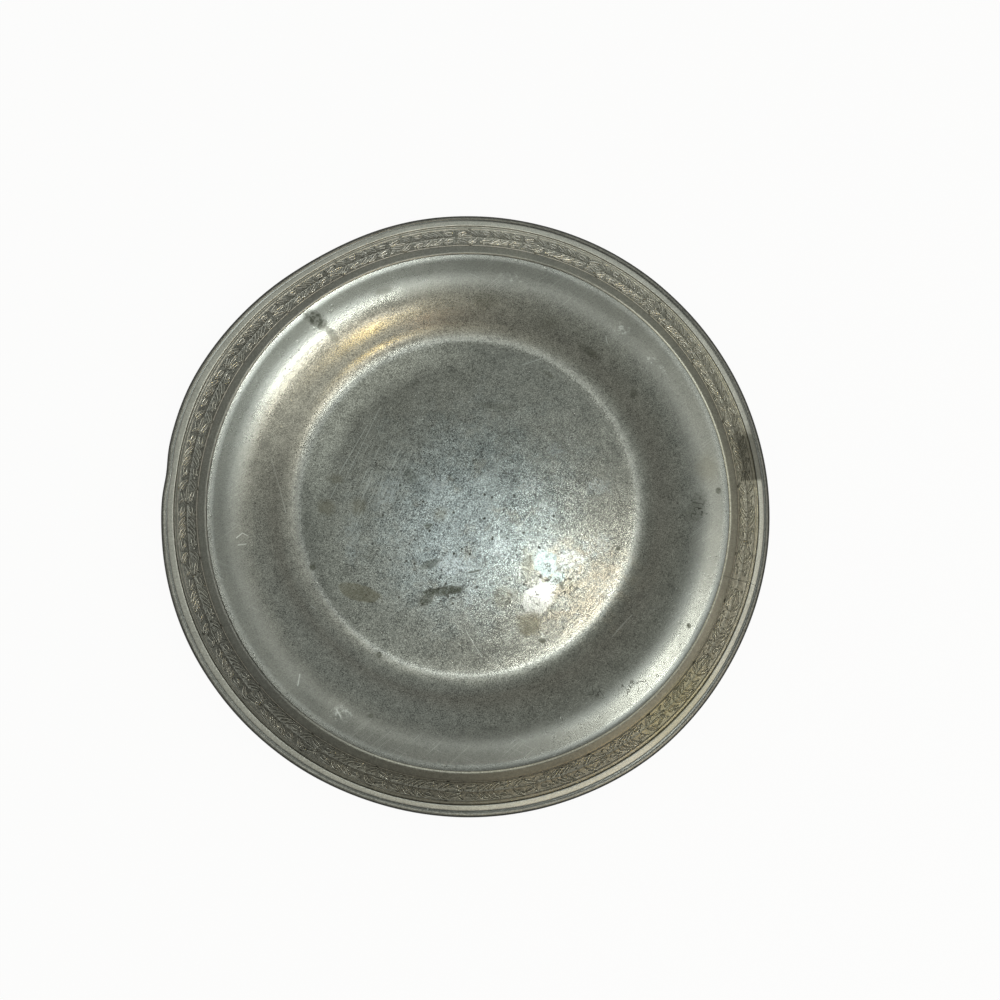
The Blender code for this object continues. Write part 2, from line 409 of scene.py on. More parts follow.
# %% Fields
class Field:
    """A value in a node tree."""

    def __init__(self, tree, socket):
        self.tree = tree
        self.socket = socket

    def node(self, kind, settings, inputs, output=0):
        """Adds any other node: its settings first, then its inputs, each a value or a field."""
        made = self.tree.nodes.new(kind)
        for name, value in settings.items():
            setattr(made, name, value)
        for key, value in inputs.items():
            if isinstance(value, Field):
                self.tree.links.new(value.socket, made.inputs[key])
            else:
                made.inputs[key].default_value = value
        return Field(self.tree, made.outputs[output])

    def math(self, operation, *values):
        return self.node("ShaderNodeMath", {"operation": operation}, dict(enumerate(values)))

    def vector(self, x=0.0, y=0.0, z=0.0):
        return self.node("ShaderNodeCombineXYZ", {}, {0: x, 1: y, 2: z})

    def __add__(self, other):
        return self.math("ADD", self, other)

    def __radd__(self, other):
        return self.math("ADD", other, self)

    def __sub__(self, other):
        return self.math("SUBTRACT", self, other)

    def __rsub__(self, other):
        return self.math("SUBTRACT", other, self)

    def __mul__(self, other):
        return self.math("MULTIPLY", self, other)

    def __rmul__(self, other):
        return self.math("MULTIPLY", other, self)

    def __truediv__(self, other):
        return self.math("DIVIDE", self, other)


# %% [markdown]
# ## A node tree that lays a form round the rim
#
# The tree puts one point at each mark of the border, turns and stretches the form there, adds
# a little unevenness from a fixed seed, and ends in real geometry. Its inputs are named, so
# each pair of leaves is one object that gives its own place, angle and size.


# %% The run tree
def run_tree():
    """Geometry Nodes: repeats the object's own mesh round the rim, once at each mark."""
    tree = bpy.data.node_groups.new("run_round_rim", "GeometryNodeTree")
    inputs = (
        ("Form", "NodeSocketGeometry"), ("Count", "NodeSocketInt"), ("First Angle", "NodeSocketFloat"),
        ("Pitch", "NodeSocketFloat"), ("Radius", "NodeSocketFloat"), ("Height", "NodeSocketFloat"),
        ("Turn", "NodeSocketFloat"), ("Size", "NodeSocketVector"), ("Unevenness", "NodeSocketFloat"),
        ("Seed", "NodeSocketInt"), ("Material", "NodeSocketMaterial"),
    )
    for name, kind in inputs:
        tree.interface.new_socket(name, in_out="INPUT", socket_type=kind)
    tree.interface.new_socket("Geometry", in_out="OUTPUT", socket_type="NodeSocketGeometry")
    entry = tree.nodes.new("NodeGroupInput")
    given = {name: Field(tree, entry.outputs[name]) for name, _ in inputs}
    form = given["Form"]
    angle = given["First Angle"] + given["Pitch"] * form.node("GeometryNodeInputIndex", {}, {})
    east, north = form.math("COSINE", angle), form.math("SINE", angle)
    place = form.vector(given["Radius"] * east, given["Radius"] * north, given["Height"])
    points = form.node("GeometryNodePoints", {}, {"Count": given["Count"], "Position": place})
    low, high = 1.0 - given["Unevenness"], 1.0 + given["Unevenness"]
    stretch = form.node("FunctionNodeRandomValue", {"data_type": "FLOAT_VECTOR"}, {
        0: form.vector(low, low, low), 1: form.vector(high, high, high), "Seed": given["Seed"]})
    sway = form.node("FunctionNodeRandomValue", {}, {2: -1.0, 3: 1.0, "Seed": given["Seed"] + 40}, output=1)
    heading = angle + math.pi / 2 - given["Turn"] + sway * given["Unevenness"] * 0.5
    turn = form.node("FunctionNodeEulerToRotation", {}, {0: form.vector(z=heading)})
    size = form.node("ShaderNodeVectorMath", {"operation": "MULTIPLY"}, {0: given["Size"], 1: stretch})
    laid = form.node("GeometryNodeInstanceOnPoints", {}, {
        "Points": points, "Instance": form, "Rotation": turn, "Scale": size})
    real = form.node("GeometryNodeRealizeInstances", {}, {"Geometry": laid})
    done = form.node("GeometryNodeSetMaterial", {}, {"Geometry": real, "Material": given["Material"]})
    leave = tree.nodes.new("NodeGroupOutput")
    tree.links.new(done.socket, leave.inputs["Geometry"])
    return tree


END_MARGIN = 0.4
UNEVENNESS = 0.06
lay_round_rim = run_tree()
leaf_pewter = bpy.data.materials.new("leaf_pewter")


def run(name, form, along, out, length, width, angle, rise, seed):
    """Lays one leaf of the sprig round the whole rim, wherever it clears the strip's two ends."""
    start = math.radians(FIRST_MARK) * STEM + along
    end = start + length * math.cos(math.radians(angle))
    pitch = math.radians(PITCH) * STEM
    whole = math.tau * STEM
    first = next(k for k in range(-1, MARKS) if min(start, end) + k * pitch > END_MARGIN)
    last = next(k for k in range(MARKS, 0, -1) if max(start, end) + k * pitch < whole - END_MARGIN)
    made = bpy.data.objects.new(name, leaf_forms[form])
    bpy.context.scene.collection.objects.link(made)
    modifier = made.modifiers.new("run", "NODES")
    modifier.node_group = lay_round_rim
    values = {
        "Count": last - first + 1,
        "First Angle": math.radians(JOINT) + (start + first * pitch) / STEM,
        "Pitch": math.radians(PITCH), "Radius": STEM + out, "Height": LEAF_GROUND,
        "Turn": math.radians(angle), "Size": (length, width, rise),
        "Unevenness": UNEVENNESS, "Seed": seed, "Material": leaf_pewter,
    }
    for item in lay_round_rim.interface.items_tree:
        if item.in_out == "INPUT" and item.name in values:
            modifier[item.identifier] = values[item.name]
    bpy.context.view_layer.update()
    solid = bpy.data.meshes.new_from_object(made.evaluated_get(bpy.context.evaluated_depsgraph_get()))
    bpy.data.objects.remove(made)
    solid.name = name
    wear(solid)
    return dress(name, solid, "leaf_border")


# %% [markdown]
# ## The sprig
#
# One repeat is 29.6 mm long. The leaves are paired across the stem and all point one way:
# a spread pair round a middle leaf, a closing pair, a tie, an oval pair, a short pair, two
# chevron pairs, and buds with two berries on the inner side. Narrow slivers, the edges of
# leaves that lie behind, fill the places between them.

# %% The sprig
PAIRS = (
    # name, form, foot along the stem, foot out from it, length, width, angle, rise
    ("spread", "left", -3.6, 0.35, 5.4, 1.50, 33, 0.40),
    ("closing", "round", 1.2, 2.25, 5.0, 1.55, -17, 0.38),
    ("oval", "round", 7.4, 1.30, 3.4, 1.90, 10, 0.40),
    ("short", "left", 9.7, 0.35, 3.4, 1.25, 34, 0.38),
    ("front", "left", 11.9, 0.30, 5.9, 1.50, 29, 0.42),
    ("back", "left", 16.0, 0.30, 5.9, 1.50, 29, 0.42),
    ("bud", "round", 20.9, 1.75, 3.5, 1.80, 6, 0.40),
    ("sliver_one", "left", 14.0, 0.25, 5.0, 1.00, 33, 0.36),
    ("sliver_two", "left", 18.1, 0.25, 4.6, 1.00, 36, 0.36),
    ("sliver_three", "left", -1.5, 0.85, 3.8, 1.00, 28, 0.36),
    ("sliver_four", "left", 4.0, 0.35, 3.8, 1.10, 42, 0.36),
    ("sliver_five", "left", 22.6, 0.30, 3.9, 1.05, 38, 0.36),
    ("sliver_six", "left", 9.2, 2.25, 2.9, 0.90, 12, 0.36),
)
SINGLES = (
    ("middle", "narrow", -1.4, 0.0, 7.2, 1.25, 0, 0.44),
    ("tie", "narrow", 6.3, -1.1, 2.2, 0.8, 90, 0.40),
    ("berry_one", "berry", 23.2, -2.85, 1.0, 1.0, 0, 0.36),
    ("berry_two", "berry", 24.6, -1.9, 1.0, 1.0, 0, 0.36),
)
INNER_SEED = 20
SINGLE_SEED = 60
leaves = []
for seed, (name, form, along, out, length, width, angle, rise) in enumerate(PAIRS):
    other = "right" if form == "left" else form
    leaves.append(run("leaves_" + name + "_outer", form, along, out, length, width, angle, rise, seed))
    seed += INNER_SEED
    leaves.append(run("leaves_" + name + "_inner", other, along, -out, length, width, -angle, rise, seed))
for seed, (name, *sizes) in enumerate(SINGLES, SINGLE_SEED):
    leaves.append(run("leaves_" + name, *sizes, seed))
print(len(leaves), "runs,", sum(len(leaf.data.polygons) for leaf in leaves), "faces")

# %% [markdown]
# ## Pewter
#
# All the materials start from the unworn place in millimetres. A few methods make the fields
# that they share: noise of a given grain size, a soft step, a stain with a ragged edge, and a
# scratch between two points.


# %% Pewter
def colour(value):
    """A colour socket's value from three numbers; a field passes through."""
    return value if isinstance(value, Field) else (*value, 1.0)


class Pewter:
    """A metal's node tree and the fields that every pewter here starts from."""

    def __init__(self, material):
        material.use_nodes = True
        self.tree = material.node_tree
        self.shader = self.tree.nodes["Principled BSDF"]
        self.shader.inputs["Metallic"].default_value = 1.0
        attribute = self.tree.nodes.new("ShaderNodeAttribute")
        attribute.attribute_name = "rest"
        self.place = Field(self.tree, attribute.outputs["Vector"])
        self.x, self.y, self.z = (
            self.place.node("ShaderNodeSeparateXYZ", {}, {0: self.place}, output=k) for k in range(3))
        self.flat = self.place.vector(self.x, self.y)
        self.radius = self.vector_math("LENGTH", {0: self.flat}, output=1)
        self.planes = {0: self.flat}
        self.ragged = (self.noise(7.0, 4, 0.65, 3.0) - 0.5) + (self.noise(1.3, 2, 0.6, 6.0) - 0.5) * 0.6

    def read(self, name):
        """A number that the mesh carries as an attribute."""
        return self.place.node("ShaderNodeAttribute", {"attribute_name": name}, {}, output=2)

    def vector_math(self, operation, inputs, output=0):
        """A Vector Math node; its second output is a number."""
        return self.place.node("ShaderNodeVectorMath", {"operation": operation}, inputs, output)

    def noise(self, grain, detail=2.0, roughness=0.5, shift=0.0, place=None):
        """Noise whose blobs are about one grain wide, in millimetres."""
        apart = (shift * 71, shift * 37, shift * 13)
        moved = self.vector_math("ADD", {0: place or self.place, 1: apart})
        return self.place.node("ShaderNodeTexNoise", {}, {
            "Vector": moved, "Scale": 0.5 / grain, "Detail": detail, "Roughness": roughness})

    def streaks(self, heading, length, width, shift):
        """Noise drawn out along a heading in degrees."""
        along = self.place.node("ShaderNodeMapping", {"vector_type": "TEXTURE"}, {
            "Vector": self.flat, "Rotation": (0, 0, math.radians(heading)), "Scale": (length, width, 1)})
        return self.noise(0.5, 2, 0.5, shift, place=along)

    def step(self, value, low, high, top=1.0):
        """A smooth step from 0 at low to the top at high; it falls where low is above high."""
        first, last = (0.0, top) if low < high else (top, 0.0)
        return self.place.node("ShaderNodeMapRange", {"interpolation_type": "SMOOTHSTEP"}, {
            0: value, 1: min(low, high), 2: max(low, high), 3: first, 4: last})

    def side(self, azimuth):
        """1 on the side of the bowl at an azimuth in degrees, and -1 on the opposite side."""
        heading = math.radians(azimuth)
        return self.dot(self.flat, (math.cos(heading), math.sin(heading), 0)) / self.radius

    def blend(self, first, second, amount):
        """A colour between two colours."""
        return self.place.node("ShaderNodeMix", {"data_type": "RGBA", "clamp_factor": True},
                               {0: amount, 6: colour(first), 7: colour(second)}, output=2)

    def dot(self, first, second):
        """The dot product of two vectors."""
        return self.vector_math("DOT_PRODUCT", {0: first, 1: second}, output=1)

    def scaled(self, tint, amount):
        """A colour times a field."""
        return self.vector_math("SCALE", {0: tint, "Scale": amount})

    def spot(self, at, size, turn=0, edge=0.25, ragged=0.8, top=1.0):
        """The top inside an ellipse with a ragged edge, 0 outside; at and size in millimetres."""
        cosine, sine = math.cos(math.radians(turn)), math.sin(math.radians(turn))
        if turn not in self.planes:
            self.planes[turn] = self.place.vector(self.dot(self.flat, (cosine, sine, 0)),
                                                  self.dot(self.flat, (-sine, cosine, 0)))
        middle = ((at[0] * cosine + at[1] * sine) / size[0], (at[1] * cosine - at[0] * sine) / size[1])
        moved = self.vector_math("MULTIPLY_ADD", {
            0: self.planes[turn], 1: (1 / size[0], 1 / size[1], 0), 2: (-middle[0], -middle[1], 0)})
        away = self.vector_math("LENGTH", {0: moved}, output=1)
        return self.step(away + self.ragged * ragged, 1 + edge, 1 - edge, top)

    def spots(self, rows):
        """Several spots; a row has a place, a size, a turn, an edge, a raggedness and maybe a top."""
        return self.most([self.spot(*row) for row in rows])

    def scratch(self, start, end, width):
        """1 along a fine line between two points."""
        line = Vector((end[0] - start[0], end[1] - start[1], 0))
        offset = self.vector_math("SUBTRACT", {0: self.flat, 1: (start[0], start[1], 0)})
        share = self.dot(offset, tuple(line / line.length_squared))
        share = self.place.math("MINIMUM", self.place.math("MAXIMUM", share, 0.0), 1.0)
        nearest = self.scaled(tuple(line), share)
        away = self.vector_math("DISTANCE", {0: offset, 1: nearest}, output=1)
        return self.step(away + self.ragged * width, width, width * 0.25)

    def scratches(self, rows):
        """Several scratches; a row has two ends and a width."""
        return self.most([self.scratch(*row) for row in rows])

    def scatter(self, scale, size, channel, chosen):
        """Round marks in some of the cells of a fixed pattern, each cell chosen by its own chance."""
        cells = {"Vector": self.flat, "Scale": scale, "Randomness": 1.0}
        away = self.place.node("ShaderNodeTexVoronoi", {}, cells)
        draw = self.place.node("ShaderNodeTexVoronoi", {}, cells, output=1)
        chance = self.place.node("ShaderNodeSeparateColor", {}, {0: draw}, output=channel)
        return self.step(away, *size) * self.step(chance, *chosen)

    def most(self, fields):
        """The greatest of several fields at each place."""
        total = fields[0]
        for field in fields[1:]:
            total = self.place.math("MAXIMUM", total, field)
        return total

    def finish(self, tint, roughness, height, depth):
        """Links the colour, the roughness and a bump of the given depth in millimetres."""
        bump = self.place.node("ShaderNodeBump", {}, {
            "Strength": 1.0, "Distance": depth * MM, "Height": height})
        self.tree.links.new(tint.socket, self.shader.inputs["Base Color"])
        self.tree.links.new(roughness.socket, self.shader.inputs["Roughness"])
        self.tree.links.new(bump.socket, self.shader.inputs["Normal"])


# %% [markdown]
# ## Body pewter: metal
#
# Grey pewter with a green cast, polished in circles. Its middle is worn rough: there the grain,
# the mottling and the pits are strongest and the colour turns cool, with a warm patch at the
# lower right.
#
# The lamps alone don't give the photograph's light and dark. So the colour, the roughness and
# the bumps also change with the side of the bowl. At the upper left the colour is up to 85 %
# lighter at the edge of the floor and 70 % lighter high on the wall, and between there and the
# lower right the shoulder is up to 25 % darker. Smaller changes lie on the other sides. They are
# fixed to the bowl, and stay where they are when it is turned or lit in another way.

# %% Body pewter: metal
GREY_PEWTER = (0.228, 0.227, 0.204)
DULL_PEWTER = (0.200, 0.203, 0.189)
COOL_PEWTER = (0.184, 0.206, 0.206)
TARNISH = (0.150, 0.144, 0.122)
WARM_PEWTER = (0.208, 0.191, 0.158)
body_pewter = bpy.data.materials.new("body_pewter_worn")
metal = Pewter(body_pewter)
upward = metal.read("upper")

grain = metal.noise(0.21, 1, 0.6)
fleck = metal.noise(0.8, 3, 0.75, 1.0)
mottle = metal.noise(3.4, 4, 0.7, 2.0)
clouds = metal.noise(20.0, 3, 0.55, 4.0)
rings = metal.noise(0.5, 3, 0.6, 5.0, place=metal.place.vector(
    metal.x / metal.radius * 5.0, metal.y / metal.radius * 5.0, metal.radius * 1.6))
brushed = metal.streaks(58, 7, 0.45, 12.0)

worn = metal.spot((1, -13), (48, 45), 0, 0.55, 1.1) * upward
cool = metal.spot((4, -6), (40, 40), 20, 0.6, 1.2) * upward
warm = metal.spot((46, -36), (24, 19), 20, 0.45, 1.0) * upward

pewter = metal.blend(GREY_PEWTER, DULL_PEWTER, clouds)
pewter = metal.blend(pewter, COOL_PEWTER, cool * 0.85)
tarnish = metal.step(metal.noise(5.0, 4, 0.65, 7.0), 0.56, 0.70)
pewter = metal.blend(pewter, TARNISH, tarnish * worn * 0.55)
pewter = metal.blend(pewter, WARM_PEWTER, warm * metal.step(mottle, 0.35, 0.6) * 0.85)

patchy = worn * metal.step(metal.noise(9.0, 3, 0.6, 14.0), 0.36, 0.60)
lip = metal.step(metal.radius, 98, 103)
speckle = 1.0 + (grain - 0.5) * (2.6 + worn * 0.8 + patchy * 1.2) + (fleck - 0.5) * (0.95 + patchy * 0.45)
speckle = speckle + (mottle - 0.5) * (0.8 + worn * 0.9) + (rings - 0.5) * 0.35 + (clouds - 0.5) * 0.2
speckle = speckle + (brushed - 0.5) * (0.3 + worn * 0.6)
streaked = metal.spot((46, -42), (17, 11), 47, 0.5, 1.0, 1.25)
speckle = speckle + (metal.streaks(47, 20, 0.7, 13.0) - 0.5) * streaked
# A mask along the diagonal from the upper left to the lower right. It makes the wall smoother there, and it
# shapes the painted shade of the shoulder.
smooth = metal.side(135) * metal.side(135)
smooth = smooth * smooth
shoulder = metal.step(metal.radius, 88, 97)
speckle = 1.0 + (speckle - 1.0) * (1.0 - metal.step(metal.radius, 92, 99, 0.55) - shoulder * smooth * 0.25)
near = metal.step(metal.side(268), 0.65, 1.0)
upper_left = metal.step(metal.side(135), 0.6, 1.0)
lower_right = metal.step(metal.side(-45), 0.6, 1.0)
# Painted light and shade round the edge of the floor: lighter near the bottom, at the lower right and most
# at the upper left, darker on the left.
painted_edge_light_and_shade = near * 0.30 + lower_right * 0.35 - metal.step(metal.side(185), 0.6, 1.0, 0.22)
painted_edge_light_and_shade = metal.step(metal.radius, 66, 71) * metal.step(metal.radius, 79, 74) * painted_edge_light_and_shade
inner_edge = metal.step(metal.radius, 58, 68) * metal.step(metal.radius, 75, 71)
painted_edge_light_and_shade = painted_edge_light_and_shade + inner_edge * upper_left * 0.85
# Painted light and shade high on the wall: lighter on the right and most at the upper left, darker near the
# bottom.
painted_lip_light_and_shade = lip * (metal.step(metal.side(8), 0.75, 1.0, 0.24) - near * 0.28 + lower_right * 0.04)
painted_lip_light_and_shade = painted_lip_light_and_shade + metal.step(metal.radius, 91, 97) * upper_left * 0.70
# Painted shade in the groove under the wire: darker all round, and most on the upper right.
painted_groove_shade = metal.step(metal.radius, 123.7, 124.0) * (0.30 + metal.step(metal.side(50), -0.6, 0.6, 0.42))
# Painted shade on the shoulder: up to 25 % darker on the sides between the upper left and the lower right.
painted_shoulder_shade = shoulder * (1.0 - smooth) * (smooth + 0.35) * 0.55
# All the painted light and shade of the body, as one factor on its colour.
level = (1.0 - painted_shoulder_shade) * (1.0 + painted_edge_light_and_shade + painted_lip_light_and_shade - painted_groove_shade)
pewter = metal.scaled(pewter, speckle * level)

# %% [markdown]
# ## Body pewter: marks
#
# The large stains and bare patches, the cracked places and the larger scratches lie where the
# photograph shows them, as soft ellipses with ragged edges and as fine lines, in millimetres
# from the centre. The cracks in them, the small pits and dots and the faint lines are fixed
# patterns.

# %% Body pewter: marks
PALE_METAL = (0.320, 0.345, 0.350)
BARE_METAL = (0.300, 0.298, 0.284)
COOL_BARE_METAL = (0.198, 0.228, 0.226)
DARK_STAIN = (0.052, 0.056, 0.042)
OLIVE_STAIN = (0.128, 0.116, 0.080)
PIT_BOTTOM = (0.030, 0.032, 0.028)
FRESH_SCRATCH = (0.38, 0.39, 0.37)
pale = metal.spots((
    ((32.3, -3.0), (5.2, 3.4), 10, 0.4, 2.0, 0.6), ((13.0, -19.0), (4.0, 3.6), 0, 0.4, 2.2),
    ((-5.9, -27.1), (7.4, 3.6), 0, 0.4, 2.0, 0.9), ((0.1, -39.9), (3.0, 4.6), 0, 0.4, 2.0, 0.7),
    ((44.0, -24.4), (5.6, 4.0), -10, 0.35, 1.8), ((55.5, -17.9), (6.0, 4.0), 20, 0.4, 2.4, 0.6),
    ((-36.2, 4.0), (3.4, 8.0), -25, 0.5, 2.2, 0.7), ((-50.4, -15.0), (2.4, 8.0), 0, 0.5, 2.2, 0.5),
    ((28.0, 8.5), (3.6, 3.2), 0, 0.4, 2.8), ((57.0, 7.6), (5.6, 3.2), -30, 0.4, 3.0, 0.7),
    ((-13.8, 8.4), (3.6, 3.0), 0, 0.4, 3.0, 0.7), ((37.5, 24.1), (4.0, 3.4), -30, 0.4, 3.0, 0.7),
))
pewter = metal.blend(pewter, PALE_METAL, pale * metal.step(fleck, 0.36, 0.6) * upward * 0.75)

bare = metal.spots((
    ((32.4, -27.0), (4.8, 5.8), 10, 0.12, 1.9), ((37.4, -32.6), (3.6, 2.6), 30, 0.12, 1.6, 0.85),
    ((29.0, -40.2), (8.4, 5.6), 35, 0.12, 2.2), ((33.4, -36.6), (3.6, 3.4), 0, 0.12, 1.6),
)) * upward
crack = metal.place.math("ABSOLUTE", metal.noise(2.6, 2, 0.55, 6.5) - 0.5)
crack_zone = metal.most([metal.spots((
    ((34.5, -35.5), (14, 11), 30, 0.4, 1.2), ((14.1, -40.8), (5.0, 6.0), 0, 0.4, 1.0, 0.7),
    ((95.0, -4.5), (7.0, 5.0), 60, 0.4, 1.6), ((50.7, -79.3), (5.0, 4.0), 20, 0.4, 1.4, 0.8),
    ((66.0, -76.0), (7.0, 3.0), 20, 0.4, 1.4, 0.7), ((30.0, 6.0), (9.0, 8.0), 0, 0.5, 1.2, 0.5),
    ((26.0, -53.0), (7.0, 6.0), 0, 0.4, 1.2, 0.7), ((60.0, 10.0), (8.0, 6.0), 0, 0.4, 1.2, 0.5),
)), worn * 0.22])
cracks = metal.step(crack, 0.016, 0.004) * crack_zone * metal.step(mottle, 0.40, 0.58)
strong = metal.spots((
    ((33.5, -33.6), (8.5, 2.6), -25, 0.4, 1.6), ((40.5, -35.0), (2.6, 5.0), 0, 0.4, 1.6),
    ((14.1, -40.8), (4.6, 5.6), 0, 0.3, 1.0, 0.5), ((95.5, -3.6), (5.0, 2.6), 55, 0.3, 1.0),
    ((50.7, -79.3), (4.0, 2.4), 20, 0.3, 1.0), ((-11.4, -39.4), (9.0, 3.6), 6, 0.3, 1.0, 0.8),
    ((66.0, -76.0), (7.0, 1.2), 20, 0.3, 1.0, 0.7),
))
cracks = metal.most([cracks, metal.step(crack, 0.024, 0.007) * strong]) * (1.0 - bare * 0.35) * upward
patch = metal.blend(BARE_METAL, COOL_BARE_METAL, metal.step(metal.y, -37, -33))
pewter = metal.blend(pewter, patch, bare * (1.0 - cracks * 0.8))

stains = metal.spots((
    ((-10.6, -37.6), (8.6, 1.7), 6, 0.3, 1.6), ((-18.5, -41.2), (3.8, 2.2), 42, 0.3, 1.4, 0.85),
    ((-17.0, -26.4), (4.2, 1.5), 25, 0.35, 1.8, 0.6),
    ((1.8, -29.5), (2.8, 0.45), 12, 0.3, 0.8, 0.8), ((-66.8, 78.4), (6.0, 2.9), -35, 0.4, 1.5),
    ((-60.4, 73.4), (4.4, 1.5), -50, 0.45, 1.8, 0.6),
    ((-38.2, 92.2), (4.6, 1.8), 20, 0.5, 1.8, 0.5), ((7.2, 89.1), (5.2, 2.8), 0, 0.7, 1.8, 0.5),
    ((34.6, 79.7), (3.8, 2.4), 0, 0.7, 1.8, 0.4), ((53.6, 66.4), (5.4, 1.2), -35, 0.5, 1.4, 0.7),
    ((35.4, 58.0), (3.4, 0.8), -35, 0.5, 1.4, 0.6), ((72.1, 48.0), (1.3, 2.2), 0, 0.5, 1.4, 0.6),
    ((12.5, 43.3), (8.4, 1.7), -5, 0.6, 2.0, 0.55), ((95.6, -2.6), (4.6, 2.6), 55, 0.7, 3.0, 0.5),
    ((30.5, -59.0), (1.8, 1.2), 0, 0.4, 1.8), ((50.7, -79.3), (2.4, 1.1), 20, 0.5, 2.2, 0.6),
    ((-66.7, -27.3), (1.3, 1.5), 0, 0.4, 1.0), ((-38.0, -64.2), (1.1, 1.1), 0, 0.4, 1.0, 0.8),
    ((89.8, -52.5), (0.8, 0.9), 0, 0.4, 1.0), ((105.0, 4.1), (1.0, 1.3), 0, 0.4, 1.2, 0.8),
    ((-40.1, -87.6), (1.2, 0.9), 0, 0.4, 1.2, 0.7), ((64.2, -19.8), (0.9, 1.0), 0, 0.4, 1.2),
    ((-18.0, -9.9), (1.6, 1.4), 0, 0.6, 2.4, 0.8), ((-26.0, 12.4), (2.2, 3.4), 20, 0.7, 1.8, 0.5),
    ((39.0, -34.9), (0.9, 2.6), 15, 0.4, 1.8, 0.6), ((-33.0, 31.0), (10.0, 8.0), 0, 0.9, 1.6, 0.2),
)) * (0.50 + metal.step(fleck, 0.40, 0.58) * 0.50) * upward
pewter = metal.blend(pewter, DARK_STAIN, stains * 0.9)

olive = metal.spots((
    ((-46.6, -38.2), (9.4, 3.4), -16, 0.12, 0.7), ((-61.7, -1.8), (3.6, 3.6), 0, 0.5, 1.4, 0.8),
    ((-47.7, -1.2), (3.2, 3.6), 0, 0.5, 1.6, 0.7), ((-57.8, 10.6), (3.6, 2.2), 0, 0.5, 1.6, 0.6),
    ((25.4, -52.3), (5.2, 4.6), 20, 0.4, 1.6), ((14.1, -40.8), (4.2, 5.4), 0, 0.25, 1.0, 0.5),
    ((-12.9, -4.7), (3.4, 3.2), 0, 0.6, 1.8, 0.6), ((101.0, 14.0), (4.0, 6.0), 10, 0.6, 1.2, 0.5),
    ((25.0, -28.0), (2.6, 6.4), 0, 0.5, 1.8, 0.6), ((43.0, -36.5), (3.4, 4.0), 0, 0.5, 1.8, 0.4),
)) * upward
pewter = metal.blend(pewter, OLIVE_STAIN, olive * 0.62)

pit = metal.scatter(0.30, (0.21, 0.10), 0, (0.72, 0.76))
dots = metal.scatter(0.62, (0.27, 0.13), 1, (0.40, 0.36))
floor_pits = pit * (0.25 + worn * 0.75 - bare) * metal.step(metal.radius, 72, 66)
pits = metal.most([floor_pits, dots * (patchy * 0.6 + 0.22), cracks]) * upward
pewter = metal.blend(pewter, PIT_BOTTOM, pits * 0.85)

light_lines = metal.scratches((
    ((-56.5, 13.0), (-44.8, 34.4), 0.30), ((-53.9, 10.2), (-39.4, 42.3), 0.22),
    ((-60.0, 2.0), (-56.8, 9.0), 0.25), ((-1.7, -54.6), (5.1, -65.4), 0.28),
    ((59.8, -57.4), (68.4, -48.3), 0.28), ((61.6, -55.0), (67.0, -49.6), 0.2),
    ((23.4, 62.4), (31.5, 65.2), 0.3), ((-84.3, 18.6), (-78.3, -4.4), 0.22),
    ((-69.6, -75.0), (-68.9, -70.8), 0.35), ((-96.4, -15.6), (-94.2, -13.6), 0.34),
    ((-94.2, -13.6), (-92.0, -14.8), 0.3), ((-95.6, -18.6), (-92.6, -18.2), 0.36),
    ((59.4, 73.0), (60.2, 69.8), 0.3), ((-54.0, -84.6), (-52.2, -87.6), 0.35),
    ((-66.5, -43.6), (-64.8, -44.8), 0.3), ((20.0, -12.0), (27.0, -3.5), 0.2),
)) * upward
light_flecks = metal.spots((
    ((65.5, 75.6), (4.4, 2.6), -20, 0.5, 3.0), ((16.8, 98.1), (4.5, 2.6), 0, 0.5, 3.2),
    ((79.4, 61.1), (2.4, 1.2), -30, 0.5, 3.0), ((84.0, 57.0), (2.2, 1.0), -30, 0.5, 3.0),
    ((-52.9, -85.8), (3.4, 2.6), 0, 0.5, 3.2), ((27.0, 8.0), (6.0, 4.0), 30, 0.5, 3.0),
    ((66.0, -27.0), (4.0, 2.0), 30, 0.5, 3.0), ((31.0, -57.0), (3.0, 2.0), 0, 0.5, 3.0),
)) * metal.step(fleck, 0.5, 0.62) * upward
steep = metal.step(metal.streaks(68, 18, 0.5, 8.0), 0.53, 0.66)
steep = steep * metal.spot((-39, 9), (12, 22), -20, 0.6, 1.6, 0.7)
slanting = metal.step(metal.streaks(38, 20, 0.36, 9.0), 0.62, 0.71) * 0.32
lying = metal.step(metal.streaks(-24, 24, 0.36, 10.0), 0.64, 0.72) * 0.26
light = metal.most([light_lines * 0.8, light_flecks * 0.6, steep, slanting, lying]) * upward
pewter = metal.blend(pewter, FRESH_SCRATCH, light)

rough = 0.240 + metal.step(metal.radius, 66, 74, 0.015)
rough = rough + metal.step(metal.radius, 86, 96) * (0.085 - smooth * 0.100)
rough = rough - metal.step(metal.radius, 105.5, 107.5, 0.06)
rough = rough + metal.step(metal.radius, 72, 75) * metal.step(metal.radius, 92, 80) * (1.0 - smooth) * 0.09
rough = rough - metal.spot((-34, 79), (13, 10), 0, 0.6, 1.2, 0.05)
rough = rough - bare * 0.02 + (mottle - 0.5) * 0.10 + (grain - 0.5) * 0.06 + stains * 0.14 + pits * 0.2
height = grain * (0.03 + worn * 0.10) + fleck * (0.05 + worn * 0.15) + rings * 0.08
height = height + mottle * (2.2 - smooth * 0.8 - shoulder * 1.2) - pit * 3.0
metal.finish(pewter, rough, height, 0.009)
body.data.materials.append(body_pewter)

